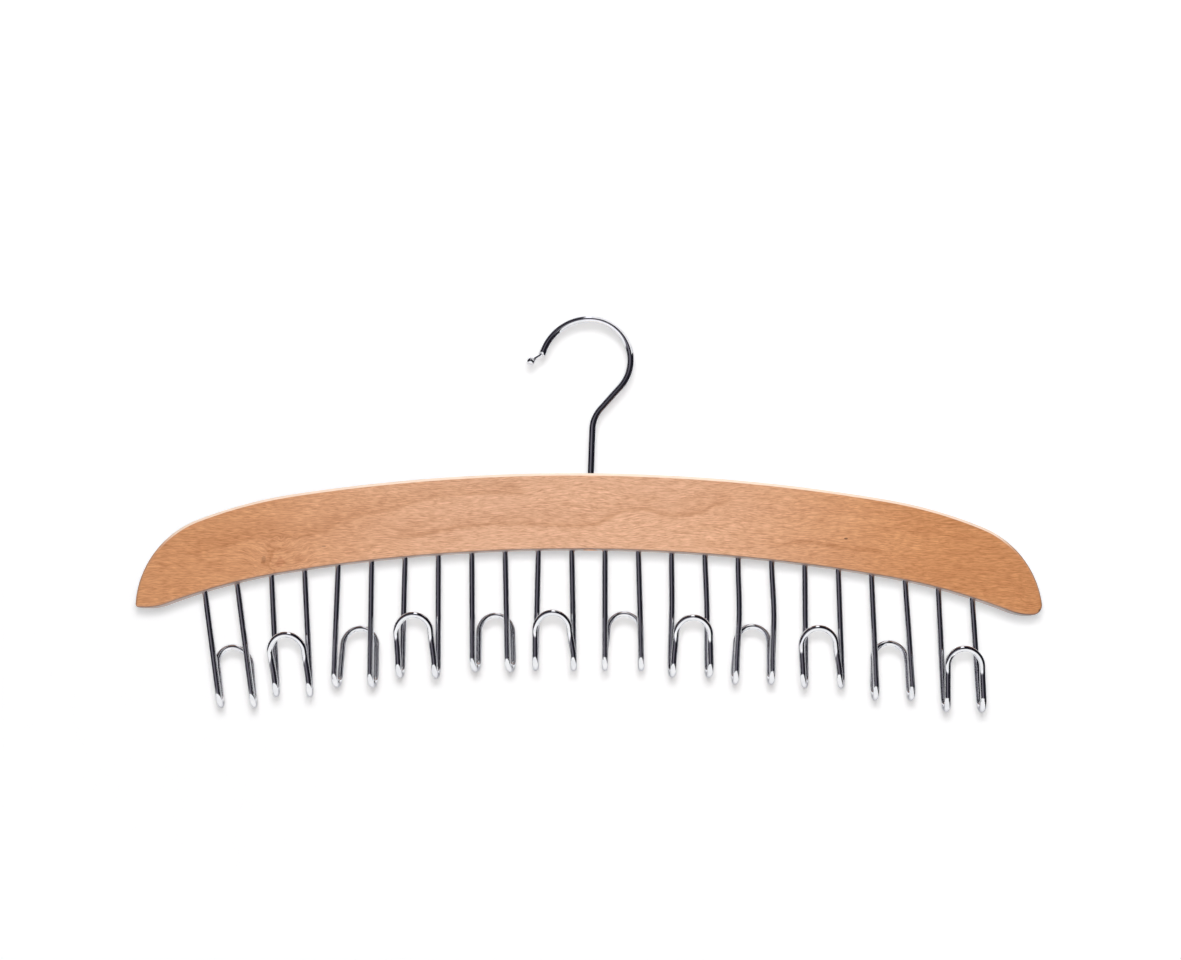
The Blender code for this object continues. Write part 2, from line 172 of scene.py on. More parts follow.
def polar(centre, radius, degrees):
    angle = math.radians(degrees)
    return Vector((centre[0] + radius * math.cos(angle), centre[1] + radius * math.sin(angle)))


def arc(centre, radius, start, end, steps):
    return [polar(centre, radius, start + (end - start) * step / steps)
            for step in range(steps + 1)]


def fine_arc(centre, radius, start, end):
    """Arc whose points stand about one outline step apart."""
    length = radius * math.radians(abs(end - start))
    return arc(centre, radius, start, end, max(3, round(length / OUTLINE_STEP)))


def arc_steps(start, end):
    return max(1, round(abs(end - start) / ARC_STEP))


def crossing(spot, way, other_spot, other_way):
    """Where two lines meet, each given by a spot and a way."""
    return spot + way * ((other_spot - spot).cross(other_way) / way.cross(other_way))


def join_runs(*runs):
    """One run of points, without the double point where one run starts at another's end."""
    joined = list(runs[0])
    for run in runs[1:]:
        first = 1 if (joined[-1] - run[0]).length < WELD_DISTANCE else 0
        joined.extend(run[first:])
    return joined


def underside_centres():
    """Centres of the underside's long arc, of its tighter right arc and of the right heel."""
    long_centre = Vector((0, UNDERSIDE_Z - UNDERSIDE_RADIUS))
    heel_centre = Vector((BAR_LENGTH / 2 - HEEL_INSET, UNDERSIDE_Z - HEEL_DROP + HEEL_RADIUS))
    heel_way = heel_centre - long_centre
    inner = UNDERSIDE_RADIUS - UNDERSIDE_END_RADIUS
    outer = UNDERSIDE_END_RADIUS + HEEL_RADIUS
    share = (inner**2 + heel_way.length_squared - outer**2) / (2 * inner * heel_way.length)
    slope = math.atan2(heel_way.x, heel_way.y) - math.acos(share)
    tight_centre = long_centre + inner * Vector((math.sin(slope), math.cos(slope)))
    return long_centre, tight_centre, heel_centre


def slope_between(centre, other_centre):
    """Angle from the vertical of the way to another centre."""
    way = other_centre - centre
    return math.degrees(math.atan2(way.x, way.y))


def underside_height(x):
    """Height of the underside at a distance from the bar's middle."""
    long_centre, tight_centre, _ = underside_centres()
    slope = math.radians(slope_between(long_centre, tight_centre))
    if abs(x) <= UNDERSIDE_RADIUS * math.sin(slope):
        return long_centre.y + math.sqrt(UNDERSIDE_RADIUS**2 - x**2)
    return tight_centre.y + math.sqrt(UNDERSIDE_END_RADIUS**2 - (abs(x) - tight_centre.x)**2)


def half_outline(corner_radius, trim):
    """Right half of the bar's outline, from its top round to the middle of its underside."""
    shoulder = math.radians(SHOULDER_SLOPE)
    shoulder_reach = SHOULDER_RADIUS * math.sin(shoulder)
    end_reach = END_RADIUS * (1 - math.sin(shoulder))
    top_reach = BAR_LENGTH / 2 - trim - shoulder_reach - end_reach
    top = math.asin(top_reach / (TOP_RADIUS - SHOULDER_RADIUS))
    top_centre = Vector((0, BAR_TOP_Z - TOP_RADIUS))
    shoulder_centre = polar(top_centre, TOP_RADIUS - SHOULDER_RADIUS, 90 - math.degrees(top))
    end_centre = polar(shoulder_centre, SHOULDER_RADIUS - END_RADIUS, 90 - SHOULDER_SLOPE)

    heel_z = UNDERSIDE_Z - HEEL_DROP
    corner_rise = heel_z + corner_radius - end_centre.y
    corner_run = math.sqrt((END_RADIUS - corner_radius)**2 - corner_rise**2)
    corner_centre = end_centre + Vector((corner_run, corner_rise))
    end_angle = math.degrees(math.atan2(corner_rise, corner_run))
    corner = [corner_centre]
    if corner_radius > 0:
        corner = arc(corner_centre, corner_radius, end_angle, -90, CORNER_STEPS)

    long_centre, tight_centre, heel_centre = underside_centres()
    heel_slope = slope_between(tight_centre, heel_centre)
    tight_slope = slope_between(long_centre, tight_centre)

    return join_runs(
        fine_arc(top_centre, TOP_RADIUS, 90, 90 - math.degrees(top)),
        fine_arc(shoulder_centre, SHOULDER_RADIUS, 90 - math.degrees(top), 90 - SHOULDER_SLOPE),
        fine_arc(end_centre, END_RADIUS, 90 - SHOULDER_SLOPE, end_angle),
        corner,
        fine_arc(heel_centre, HEEL_RADIUS, -90, -90 - heel_slope),
        fine_arc(tight_centre, UNDERSIDE_END_RADIUS, 90 - heel_slope, 90 - tight_slope),
        fine_arc(long_centre, UNDERSIDE_RADIUS, 90 - tight_slope, 90),
    )


def bar_outline():
    """Closed outline of the bar, clockwise from the middle of its top."""
    right = half_outline(RIGHT_CORNER_RADIUS, 0.0)
    left = [Vector((-point.x, point.y)) for point in reversed(half_outline(0.0, LEFT_END_TRIM))]
    return right[:-1] + left[:-1]


def link(obj):
    bpy.context.scene.collection.objects.link(obj)
    return obj


def bore_cutter(name, radius, bottom, top, place, turn):
    """Upright round cutter in a frame given by a place and a turn."""
    shape = bmesh.new()
    bmesh.ops.create_cone(shape, cap_ends=True, segments=BORE_SIDES, radius1=radius,
                          radius2=radius, depth=top - bottom)
    bmesh.ops.translate(shape, verts=shape.verts, vec=(0, 0, (top + bottom) / 2))
    mesh = bpy.data.meshes.new(name)
    shape.to_mesh(mesh)
    shape.free()
    cutter = bpy.data.objects.new(name, mesh)
    cutter.location, cutter.rotation_euler = place, turn
    return cutter


def belt_hook_place(index):
    """Where the middle of a belt hook meets the underside."""
    x = (index - (len(HOOK_FORMS) - 1) / 2) * 2 * LEG_PITCH
    return Vector((BAR_MIDDLE_X + x, 0, underside_height(x)))


def leg_lean(index, side):
    """Angle from the vertical of one leg of a hook, to the right as it goes down."""
    lean, spread, drop = HOOK_FORMS[index][:3]
    straight = drop - FOLD_RADIUS / MM
    return math.atan(math.tan(math.radians(lean)) + side * spread / 2 / straight)


def bar_cutters():
    """Cutters for the stem's bore, its counterbore and the bores of the legs."""
    stem = Vector((STEM_X, 0, 0))
    cutters = [
        bore_cutter("stem_bore", HOOK_WIRE / 2 + STEM_GAP, UNDERSIDE_Z - CUTTER_OVERRUN,
                    BAR_TOP_Z + CUTTER_OVERRUN, stem, (0, 0, 0)),
        bore_cutter("counterbore", WASHER_DIAMETER / 2 + FIT_GAP,
                    UNDERSIDE_Z - CUTTER_OVERRUN, SEAT_Z, stem, (0, 0, 0)),
    ]
    for index in range(len(HOOK_FORMS)):
        for side in (-1, 1):
            entry = belt_hook_place(index) + Vector((side * LEG_PITCH / 2, 0, 0))
            turn = (0, -leg_lean(index, side), 0)
            cutters.append(bore_cutter(f"leg_bore_{index}_{side}", BELT_WIRE / 2 + BORE_GAP,
                                       -LEG_SEAT, LEG_SEAT + FIT_GAP, entry, turn))
    return cutters


def evaluated_mesh(obj):
    """A mesh of an object as its modifiers leave it."""
    bpy.context.view_layer.update()
    return bpy.data.meshes.new_from_object(
        obj.evaluated_get(bpy.context.evaluated_depsgraph_get()))


def bar_plate():
    """Mesh of the bar as a plate with sharp edges and without bores."""
    curve = bpy.data.curves.new("bar_outline", "CURVE")
    curve.dimensions = "2D"
    curve.fill_mode = "BOTH"
    curve.extrude = BAR_THICKNESS / 2
    outline = bar_outline()
    spline = curve.splines.new("POLY")
    spline.points.add(len(outline) - 1)
    for point, place in zip(spline.points, outline):
        point.co = (place.x, place.y, 0, 1)
    spline.use_cyclic_u = True
    plate = link(bpy.data.objects.new("bar_outline", curve))
    mesh = evaluated_mesh(plate)
    bpy.data.objects.remove(plate, do_unlink=True)

    shape = bmesh.new()
    shape.from_mesh(mesh)
    bmesh.ops.remove_doubles(shape, verts=shape.verts, dist=WELD_DISTANCE)
    flat_edges = [edge for edge in shape.edges if len(edge.link_faces) == 2
                  and all(abs(face.normal.z) > FLAT_NORMAL for face in edge.link_faces)]
    bmesh.ops.dissolve_edges(shape, edges=flat_edges)
    bmesh.ops.recalc_face_normals(shape, faces=shape.faces)
    bmesh.ops.transform(shape, verts=shape.verts,
                        matrix=Matrix.Translation((BAR_MIDDLE_X, 0, 0))
                        @ Matrix.Rotation(math.pi / 2, 4, "X"))
    shape.to_mesh(mesh)
    shape.free()
    return mesh


def make_bar(material):
    """The bar with a finer outline, rounder edges and snug bores."""
    mesh = bar_plate()
    mesh.materials.append(material)
    mesh.shade_smooth()
    bar = link(bpy.data.objects.new("beech_bar", mesh))

    edges = bar.modifiers.new("rounded_edges", "BEVEL")
    edges.width = BAR_EDGE_ROUND
    edges.segments = EDGE_STEPS
    edges.limit_method = "ANGLE"
    edges.angle_limit = math.radians(SHARP_ANGLE)

    cutter_collection = bpy.data.collections.new("bar_cutters")
    bpy.context.scene.collection.children.link(cutter_collection)
    for cutter in bar_cutters():
        cutter_collection.objects.link(cutter)
    bores = bar.modifiers.new("bores", "BOOLEAN")
    bores.operation = "DIFFERENCE"
    bores.operand_type = "COLLECTION"
    bores.collection = cutter_collection
    bores.solver = "EXACT"

    cut = evaluated_mesh(bar)
    bar.modifiers.clear()
    bar.data = cut
    for cutter in list(cutter_collection.objects):
        bpy.data.objects.remove(cutter, do_unlink=True)
    bpy.data.collections.remove(cutter_collection)

    cut.shade_smooth()
    cut.set_sharp_from_angle(angle=math.radians(SHARP_ANGLE))
    smooth = bar.modifiers.new("face_weighted_normals", "WEIGHTED_NORMAL")
    smooth.keep_sharp = True
    smooth.weight = FACE_WEIGHT
    return bar


def closed_object(name, shape, material):
    """Object of a closed bmesh, with its normals outwards."""
    bmesh.ops.recalc_face_normals(shape, faces=shape.faces)
    mesh = bpy.data.meshes.new(name)
    shape.to_mesh(mesh)
    shape.free()
    mesh.materials.append(material)
    return link(bpy.data.objects.new(name, mesh))


def sweep(name, path, sides, material):
    """Closed round tube along points with radii, with a map: along in metres, then around."""
    centres = [place for place, _ in path]
    ways = []
    for index in range(len(centres)):
        before = centres[max(index - 1, 0)]
        after = centres[min(index + 1, len(centres) - 1)]
        ways.append((after - before).normalized())
    shape = bmesh.new()
    layer = shape.loops.layers.uv.new("wire")
    across = Vector((0, 1, 0))    # every wire starts square to Y
    rings, lengths, travelled = [], [], 0.0
    for index, (centre, radius) in enumerate(path):
        if index:
            across = ways[index - 1].rotation_difference(ways[index]) @ across
            travelled += (centre - centres[index - 1]).length
        across = (across - ways[index] * across.dot(ways[index])).normalized()
        other = ways[index].cross(across)
        ring = []
        for side in range(sides):
            turn = 2 * math.pi * side / sides
            ring.append(shape.verts.new(
                centre + radius * (math.cos(turn) * across + math.sin(turn) * other)))
        rings.append(ring)
        lengths.append(travelled)
    for index in range(len(rings) - 1):
        for side in range(sides):
            after = (side + 1) % sides
            face = shape.faces.new((rings[index][side], rings[index][after],
                                    rings[index + 1][after], rings[index + 1][side]))
            face.smooth = True
            corners = ((lengths[index], side), (lengths[index], side + 1),
                       (lengths[index + 1], side + 1), (lengths[index + 1], side))
            for loop, (along, around) in zip(face.loops, corners):
                loop[layer].uv = (along, around / sides)
    for ring in (rings[0][::-1], rings[-1]):
        shape.faces.new(ring)
    return closed_object(name, shape, material)


def upright(point):
    """A point of the XZ plane as a point in space."""
    return Vector((point.x, 0, point.y))


def hook_tip(end):
    """Path of the ball, the thin neck and the shoulder where the neck meets the wire's end."""
    neck_way = polar((0, 0), 1, 180 + HOOK_NECK_DIP)
    ball = end + neck_way * HOOK_NECK_LENGTH
    neck_turn = 180 - math.degrees(math.asin(HOOK_NECK_WIRE / HOOK_BALL))
    ball_arc = arc((0, 0), HOOK_BALL / 2, BALL_OPENING, neck_turn - BALL_NECK_GAP, BALL_STEPS)
    tip = [(ball + neck_way * place.x, place.y) for place in ball_arc]
    reach = HOOK_NECK_LENGTH - HOOK_BALL / 2 * NECK_CLEAR
    for share in NECK_SHARES:
        place = end + neck_way * (reach + (HOOK_NECK_TAPER - reach) * share)
        tip.append((place, HOOK_NECK_WIRE / 2))
    for step in range(1, SHOULDER_STEPS):
        turn = math.pi / 2 * step / SHOULDER_STEPS
        place = end + neck_way * HOOK_NECK_TAPER * (1 - math.sin(turn)) * SHOULDER_SHARE
        radius = HOOK_NECK_WIRE / 2 + (HOOK_WIRE - HOOK_NECK_WIRE) / 2 * (1 - math.cos(turn))
        tip.append((place, radius))
    return [(upright(point), radius) for point, radius in tip]


def rivet_head():
    """Path of the stem's peened end: a flat rim, then a dome down to its foot."""
    head = RIVET_HEAD / 2
    rivet = [(RIVET_Z + RIVET_LIFT, HOOK_WIRE / 2), (RIVET_Z, head - RIVET_LIP),
             (RIVET_Z - RIVET_LIP, head)]
    for step in range(RIVET_STEPS):
        turn = math.pi / 2 * step / RIVET_STEPS
        rivet.append((RIVET_Z - RIVET_THICKNESS / 2 - RIVET_THICKNESS / 2 * math.sin(turn),
                      RIVET_FOOT / 2 + (head - RIVET_FOOT / 2) * math.cos(turn)))
    return [(Vector((STEM_X, 0, z)), radius) for z, radius in rivet]


def swivel_hook_path():
    """Centreline and radius of the swivel hook from its ball tip to its rivet head."""
    nose_end = 180 - HOOK_TIP_ANGLE
    nose = arc((0, -HOOK_NOSE_RADIUS), HOOK_NOSE_RADIUS + HOOK_WIRE / 2, nose_end, 90,
               arc_steps(nose_end, 90))
    loop = arc((0, -HOOK_LOOP_RADIUS), HOOK_LOOP_RADIUS + HOOK_WIRE / 2, 90, -HOOK_DIAGONAL,
               arc_steps(90, -HOOK_DIAGONAL))
    stem_top = Vector((STEM_X, BAR_TOP_Z + HOOK_STEM_CLEAR))
    corner = crossing(loop[-1], polar((0, 0), 1, 90 - HOOK_DIAGONAL),
                      stem_top, polar((0, 0), 1, 90 - HOOK_STEM_LEAN))
    half_turn = math.radians((HOOK_DIAGONAL - HOOK_STEM_LEAN) / 2)
    bend_centre = polar(corner, HOOK_STEM_BEND / math.cos(half_turn),
                        -(HOOK_DIAGONAL + HOOK_STEM_LEAN) / 2)
    bend = arc(bend_centre, HOOK_STEM_BEND, 180 - HOOK_DIAGONAL, 180 - HOOK_STEM_LEAN,
               arc_steps(HOOK_DIAGONAL, HOOK_STEM_LEAN))
    wire = join_runs(nose, loop, bend, [stem_top])
    return (hook_tip(nose[0]) + [(upright(point), HOOK_WIRE / 2) for point in wire]
            + rivet_head())


def set_back(below):
    """How far a loop stands in towards its legs, at a distance below its crown."""
    for (start, low, rate), (end, high, end_rate) in zip(LOOP_BEND, LOOP_BEND[1:]):
        if below <= end * MM:
            span = end - start
            t = (below / MM - start) / span
            return MM * ((2 * t**3 - 3 * t**2 + 1) * low + (t**3 - 2 * t**2 + t) * span * rate
                         + (3 * t**2 - 2 * t**3) * high + (t**3 - t**2) * span * end_rate)
    return SET_BACK


def belt_hook_path(index):
    """Centreline of a belt hook in its own frame, with its arch behind or in front."""
    slant = math.tan(math.radians(HOOK_FORMS[index][0]))
    spread, drop, rise, twist, shift, bow = (value * MM for value in HOOK_FORMS[index][1:])
    outward = 1 if index % 2 == 0 else -1
    fold_radius = FOLD_RADIUS - SET_BACK / 2
    fold_z = fold_radius - drop
    spring_z = rise - drop - ARCH_RADIUS

    def slanted(x, y, z):
        return Vector((x - z * slant, y, z))

    def loop_y(z):
        return outward * (2 * FOLD_RADIUS - set_back(rise - drop - z))

    def leg_and_riser(side):
        bore_x = side * LEG_PITCH / 2
        foot_x = bore_x + side * spread / 2
        riser_x = foot_x + twist
        spring_x = shift + side * ARCH_RADIUS
        lean = leg_lean(index, side)
        points = [Vector((bore_x - LEG_SEAT * math.sin(lean), 0, LEG_SEAT * math.cos(lean)))]
        for step in range(LEG_STEPS):
            share = step / LEG_STEPS
            bulge = bow * math.sin(math.pi * share)**2
            points.append(slanted(bore_x + (foot_x - bore_x) * share + bulge, 0,
                                  fold_z * share))
        for step in range(FOLD_STEPS + 1):
            turn = math.pi * step / FOLD_STEPS
            across = (1 - math.cos(turn)) / 2
            points.append(slanted(foot_x + twist * across, outward * 2 * fold_radius * across,
                                  fold_z - fold_radius * math.sin(turn)))
        for step in range(1, RISER_STEPS):
            share = step / RISER_STEPS
            eased = share * share * (3 - 2 * share)
            sway = SWAY_STRAIGHT * share + (1 - SWAY_STRAIGHT) * eased
            z = fold_z + (spring_z - fold_z) * share
            points.append(slanted(riser_x + (spring_x - riser_x) * sway, loop_y(z), z))
        return points

    arch = [slanted(point.x, loop_y(point.y), point.y)
            for point in arc((shift, spring_z), ARCH_RADIUS, 180, 0, ARCH_STEPS)]
    return leg_and_riser(-1) + arch + leg_and_riser(1)[::-1]


def make_belt_hook(index, material):
    place = belt_hook_place(index)
    path = [(place + point, BELT_WIRE / 2) for point in belt_hook_path(index)]
    return sweep(f"belt_wire_{index + 1:02d}", path, BELT_SIDES, material)


def make_washer(material):
    """The washer with softly broken rims."""
    soft = WASHER_SOFTNESS
    inner = HOOK_WIRE / 2 + FIT_GAP + soft
    outer = WASHER_DIAMETER / 2 - soft
    high = WASHER_THICKNESS / 2 - soft
    profile = []
    for centre, start in (((outer, high), 90), ((outer, -high), 0),
                          ((inner, -high), -90), ((inner, high), -180)):
        profile += arc(centre, soft, start, start - 90, RIM_STEPS)
    shape = bmesh.new()
    rings = []
    for side in range(WASHER_SIDES):
        turn = 2 * math.pi * side / WASHER_SIDES
        rings.append([shape.verts.new((STEM_X + point.x * math.cos(turn),
                                       point.x * math.sin(turn), WASHER_Z + point.y))
                      for point in profile])
    for side in range(WASHER_SIDES):
        ring, after = rings[side], rings[(side + 1) % WASHER_SIDES]
        for spot in range(len(profile)):
            following = (spot + 1) % len(profile)
            face = shape.faces.new((ring[spot], after[spot], after[following], ring[following]))
            face.smooth = True
    return closed_object("stem_washer", shape, material)


class Nodes:
    """Short way to add and join the nodes of one tree."""

    def __init__(self, tree):
        self.tree = tree

    def add(self, kind, inputs=None, **settings):
        node = self.tree.nodes.new(kind)
        for key, value in settings.items():
            setattr(node, key, value)
        for key, value in (inputs or {}).items():
            if isinstance(value, bpy.types.NodeSocket):
                self.tree.links.new(value, node.inputs[key])
            else:
                node.inputs[key].default_value = value
        return node

    def maths(self, operation, first, second=0.0, third=0.0):
        node = self.add("ShaderNodeMath", {0: first, 1: second, 2: third}, operation=operation)
        return node.outputs[0]

    def vectors(self, operation, first, second):
        node = self.add("ShaderNodeVectorMath", {0: first, 1: second}, operation=operation)
        return node.outputs["Value" if operation == "DOT_PRODUCT" else "Vector"]

    def parts(self, vector):
        """The X, Y and Z of a vector."""
        return self.add("ShaderNodeSeparateXYZ", {0: vector}).outputs

    def step(self, value, low, high, to_low=0.0, to_high=1.0, straight=False):
        """Smooth or straight step of a value from one range to another."""
        node = self.add("ShaderNodeMapRange", {"Value": value, "From Min": low,
                                               "From Max": high, "To Min": to_low,
                                               "To Max": to_high},
                        interpolation_type="LINEAR" if straight else "SMOOTHSTEP")
        return node.outputs["Result"]

    def noise(self, vector, scale, detail=2.0, roughness=0.5):
        node = self.add("ShaderNodeTexNoise", {"Vector": vector, "Scale": scale,
                                               "Detail": detail, "Roughness": roughness})
        return node.outputs["Fac"]

    def stretch(self, vector, scale, offset=(0, 0, 0), turn=(0, 0, 0)):
        node = self.add("ShaderNodeMapping", {"Vector": vector, "Location": offset,
                                              "Rotation": turn, "Scale": scale})
        return node.outputs["Vector"]

    def along(self, value, points):
        """Smooth curve through the points, for a value and results from 0 to 1."""
        node = self.add("ShaderNodeFloatCurve", {"Value": value})
        curve = node.mapping.curves[0]
        for x, y in points[1:-1]:
            curve.points.new(x, y)
        for point, place in zip((curve.points[0], curve.points[-1]), (points[0], points[-1])):
            point.location = place
        node.mapping.update()
        return node.outputs[0]

    def blend(self, share, first, second, mode="MIX"):
        node = self.tree.nodes.new("ShaderNodeMix")
        node.data_type = "RGBA"
        node.blend_type = mode
        node.clamp_factor = True
        for socket, value in ((node.inputs[0], share), (node.inputs[6], first),
                              (node.inputs[7], second)):
            if isinstance(value, bpy.types.NodeSocket):
                self.tree.links.new(value, socket)
            elif isinstance(value, tuple):
                socket.default_value = (*value, 1.0)
            else:
                socket.default_value = value
        return node.outputs[2]


def new_material(name):
    material = bpy.data.materials.new(name)
    material.use_nodes = True
    return material, Nodes(material.node_tree), material.node_tree.nodes["Principled BSDF"]


def new_surface(name):
    """A material with no shader yet, and the socket that takes one."""
    material, nodes, shader = new_material(name)
    material.node_tree.nodes.remove(shader)
    output = next(node for node in material.node_tree.nodes
                  if node.bl_idname == "ShaderNodeOutputMaterial")
    return material, nodes, output.inputs["Surface"]


# Colours of the wood, and tints that its colour is multiplied by
BAND_BROWN = (0.735, 0.355, 0.160)
BAND_PALE = (0.795, 0.400, 0.187)
STREAK_BROWN = (0.665, 0.295, 0.122)
# Painted sheen in the middle of the bar, paler and pinker
SHEEN_PINK = (0.970, 0.690, 0.545)
KNOT_BROWN = (0.760, 0.420, 0.230)
KNOT_HEART = (0.560, 0.230, 0.110)
MARK_BROWN = (0.090, 0.035, 0.020)
# Painted highlight along the rounded top and bottom edges
EDGE_HIGHLIGHT_PALE = (0.930, 0.740, 0.600)
# Painted dimming towards the right end, where the sheen is weakest
RIGHT_DIM_TINT = (0.960, 0.910, 0.830)
GROWTH_TINT = (0.760, 0.660, 0.560)
LINE_TINT = (0.880, 0.830, 0.780)
FLECK_TINT = (0.700, 0.610, 0.540)
PORE_TINT = (0.800, 0.720, 0.650)
# Painted shade on the underside
UNDERSIDE_SHADE_TINT = (0.380, 0.300, 0.270)
# Painted shade on the right tip, whose edges face away from the light
TIP_SHADE_TINT = (0.300, 0.220, 0.180)

# How finely each pattern is drawn, per metre along X, Y and Z
BAND_SCALE = (7, 60, 80)
STREAK_SCALE = (30, 300, 330)
LINE_SCALE = (80, 900, 1900)
FLECK_SCALE = (230, 1500, 2500)
PORE_SCALE = (380, 3400, 3200)
WANDER_SCALE = (14, 14, 40)
RIPPLE_SCALE = 220.0
GRAIN_WANDER = 12 * MM            # width of the band in which the grain strays
BAND_TILT = 0.10                  # radians that the bands rise along the bar

# Here and below, a tuple passed to step() says where the step starts and ends, and, if
# they aren't 0 and 1, what it gives there
BAND_STEP = (0.35, 0.68)
STREAK_STEP = (0.45, 0.75, 0.0, 0.40)
LINE_STEP = (0.35, 0.68)
FLECK_STEP = (0.30, 0.70)
PORE_STEP = (0.55, 0.75)
FLECK_ROUGHNESS = (0.3, 0.75, 0.36, 0.50)
FLECK_RELIEF, PORE_RELIEF = 0.6, 0.4
# Where the painted sheen is centred and how it fades, and where the right end's painted dimming
# starts
MIDDLE_X = -12 * MM
SHEEN_STEP = (0.19, 0.03, 0.05, 0.50)
RIGHT_DIM_STEP = (0.08, 0.20)

# The knot: distances from its middle are in half widths
KNOT = Vector((-149.2, 0, -121.4)) * MM
KNOT_WIDTH = 16 * MM
KNOT_HEIGHT = 13 * MM
KNOT_RAGGED = 1.5
KNOT_PUSH = (2.6, 0.3, 0.0, 3.5 * MM)
KNOT_RING_INSIDE = (0.72, 0.92)
KNOT_RING_OUTSIDE = (1.20, 0.98)
KNOT_RING_RIGHT = (0.9, -0.9, 0.25, 0.75)
KNOT_BODY_STEP = (0.85, 0.35, 0.0, 0.30)
KNOT_HEART_STEP = (0.34, 0.16, 0.0, 0.60)

# Painted light on the edges: flatness is 1 where the wood faces front or back, rise is 1 where it
# faces up
UPPER_FLATNESS = (0.999, 0.990)
UPPER_RISE = (0.02, 0.15, 0.0, 0.90)
UPPER_ENDS = (0.212, 0.200, 0.10, 1.0)
UPPER_MIDDLE = (0.05, 0.35, 0.30, 1.0)
LOWER_FLATNESS = (0.75, 0.45)
LOWER_RISE = (-0.05, -0.3, 0.0, 0.35)
UNDERSIDE_RISE = (-0.6, -0.9)
UNDERSIDE_FRONT = (4.5 * MM, 0.0, 0.35, 1.0)
TIP_FLATNESS = (0.85, 0.60)
TIP_X = (0.200, 0.212, 0.0, 0.80)

# Each growth line: points in mm along X and Z, depth of the zone above, depth of the line
GROWTH_LINES = (
    (((-200, -118.4), (-175, -113.0), (-163, -109.5), (-138, -108.5), (-120, -100.6),
      (-95, -94.2), (-64, -87.5), (-27, -86.3)), 0.38, 0.60),
    (((-97, -110.0), (-76, -106.1), (-52, -102.3), (-27, -101.6), (-2, -102.3), (10, -98.6),
      (22, -94.2), (30, -94.2), (38, -96.7), (51, -96.2), (60, -92.4), (76, -87.0)), 0.26, 0.70),
    (((84, -114.0), (97, -110.5), (109, -109.8), (121, -111.5), (150, -115.0)), 0.12, 0.65),
)
GROWTH_X = (-200, 200)            # mm that the curves of the growth lines span
GROWTH_Z = (-120, -80)
GROWTH_FADE = 12                  # mm over which a growth line fades at each end
GROWTH_RIPPLE = 2.2 * MM
GROWTH_LINE_STEP = (2.0 * MM, 0.0)
GROWTH_ZONE_FOOT = (-0.8 * MM, 0.8 * MM)
GROWTH_ZONE_STEP = (13 * MM, 1.0 * MM)

# Small dark marks on the front face: place along X and Z, width and height in mm, strength
MARKS = (
    (126.6, -107.75, 2.0, 0.9, 0.85),
    (-158.4, -120.4, 2.2, 3.6, 0.30),
    (-129.2, -113.9, 2.2, 0.8, 0.35),
    (220.9, -142.2, 1.3, 1.7, 0.80),
)
MARK_STEP = (1.4, 0.3)            # squared distance from a mark's middle, in half widths
MARK_FRONT = (-3.5 * MM, -4.5 * MM)


def wandering(nodes, spot):
    """The place in the wood, moved slowly to and fro across the grain."""
    cloud = nodes.add("ShaderNodeTexNoise", {"Vector": nodes.stretch(spot, WANDER_SCALE),
                                             "Scale": 1.0, "Detail": 2.0}).outputs["Color"]
    shift = nodes.vectors("SUBTRACT", cloud, (0.5, 0.5, 0.5))
    shift = nodes.vectors("MULTIPLY", shift, (0.0, GRAIN_WANDER, GRAIN_WANDER))
    return nodes.vectors("ADD", spot, shift)


def offset_share(nodes, value, middle, width):
    """Distance from a middle, in half widths."""
    return nodes.maths("DIVIDE", nodes.maths("SUBTRACT", value, middle), width / 2)


def growth_shade(nodes, place, length, height, line):
    """How dark a growth line makes the wood: sharp below, and fading upwards."""
    points, zone, strength = line
    left, right = points[0][0], points[-1][0]
    drawn = [((x - GROWTH_X[0]) / (GROWTH_X[1] - GROWTH_X[0]),
              (z - GROWTH_Z[0]) / (GROWTH_Z[1] - GROWTH_Z[0])) for x, z in points]
    middle = nodes.step(nodes.along(length, drawn), 0.0, 1.0, GROWTH_Z[0] * MM,
                        GROWTH_Z[1] * MM, straight=True)
    above = nodes.maths("SUBTRACT", height, middle)
    ends = nodes.maths("MULTIPLY",
                       nodes.step(place["X"], left * MM, (left + GROWTH_FADE) * MM),
                       nodes.step(place["X"], right * MM, (right - GROWTH_FADE) * MM))
    thin = nodes.maths("MULTIPLY",
                       nodes.step(nodes.maths("ABSOLUTE", above), *GROWTH_LINE_STEP),
                       strength)
    broad = nodes.maths("MULTIPLY", nodes.step(above, *GROWTH_ZONE_FOOT),
                        nodes.step(above, *GROWTH_ZONE_STEP, 0.0, zone))
    return nodes.maths("MULTIPLY", nodes.maths("MAXIMUM", thin, broad), ends)


def mark_share(nodes, place, mark):
    """How much of a small dark mark is seen, on the front face alone."""
    x, z, wide, high, strength = mark
    across = offset_share(nodes, place["X"], x * MM, wide * MM)
    upward = offset_share(nodes, place["Z"], z * MM, high * MM)
    reach = nodes.maths("MULTIPLY_ADD", across, across, nodes.maths("MULTIPLY", upward, upward))
    return nodes.maths("MULTIPLY", nodes.step(reach, *MARK_STEP, 0.0, strength),
                       nodes.step(place["Y"], *MARK_FRONT))


